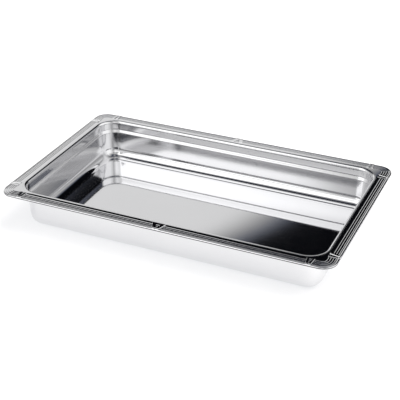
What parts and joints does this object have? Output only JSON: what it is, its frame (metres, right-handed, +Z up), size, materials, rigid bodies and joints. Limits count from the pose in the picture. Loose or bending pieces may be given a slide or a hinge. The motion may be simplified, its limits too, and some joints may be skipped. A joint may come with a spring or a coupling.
{
  "type": "food pan",
  "caption": "Full-size shallow food pan of thin polished steel sheet, with a stacking shoulder, a wide flat flange and a pressed reed-and-ribbon border round the rim.",
  "frame": {"origin": "middle of the floor's underside, on the surface that the pan stands on", "axes": "+X along the pan's length, +Y along its width, +Z up out of its mouth"},
  "size_m": [0.53, 0.325, 0.0644],
  "materials": {
    "stainless_sheet": "polished stainless steel, with very fine straight grain"
  },
  "bodies": {
    "root": {"back_left_corner_reeds": "stainless_sheet", "back_left_corner_wall": "stainless_sheet", "back_left_reeds": "stainless_sheet", "back_left_side_tie": "stainless_sheet", "back_left_tie": "stainless_sheet", "back_middle_tie": "stainless_sheet", "back_right_corner_reeds": "stainless_sheet", "back_right_corner_wall": "stainless_sheet", "back_right_reeds": "stainless_sheet", "back_right_side_tie": "stainless_sheet", "back_right_tie": "stainless_sheet", "back_wall": "stainless_sheet", "flat_flange": "stainless_sheet", "floor_panel": "stainless_sheet", "foot_bend": "stainless_sheet", "front_left_corner_reeds": "stainless_sheet", "front_left_corner_wall": "stainless_sheet", "front_left_reeds": "stainless_sheet", "front_left_side_tie": "stainless_sheet", "front_left_tie": "stainless_sheet", "front_middle_tie": "stainless_sheet", "front_right_corner_reeds": "stainless_sheet", "front_right_corner_wall": "stainless_sheet", "front_right_reeds": "stainless_sheet", "front_right_side_tie": "stainless_sheet", "front_right_tie": "stainless_sheet", "front_wall": "stainless_sheet", "left_reeds": "stainless_sheet", "left_wall": "stainless_sheet", "mouth_bend": "stainless_sheet", "right_reeds": "stainless_sheet", "right_wall": "stainless_sheet", "rolled_edge": "stainless_sheet"}
  },
  "joints": []
}
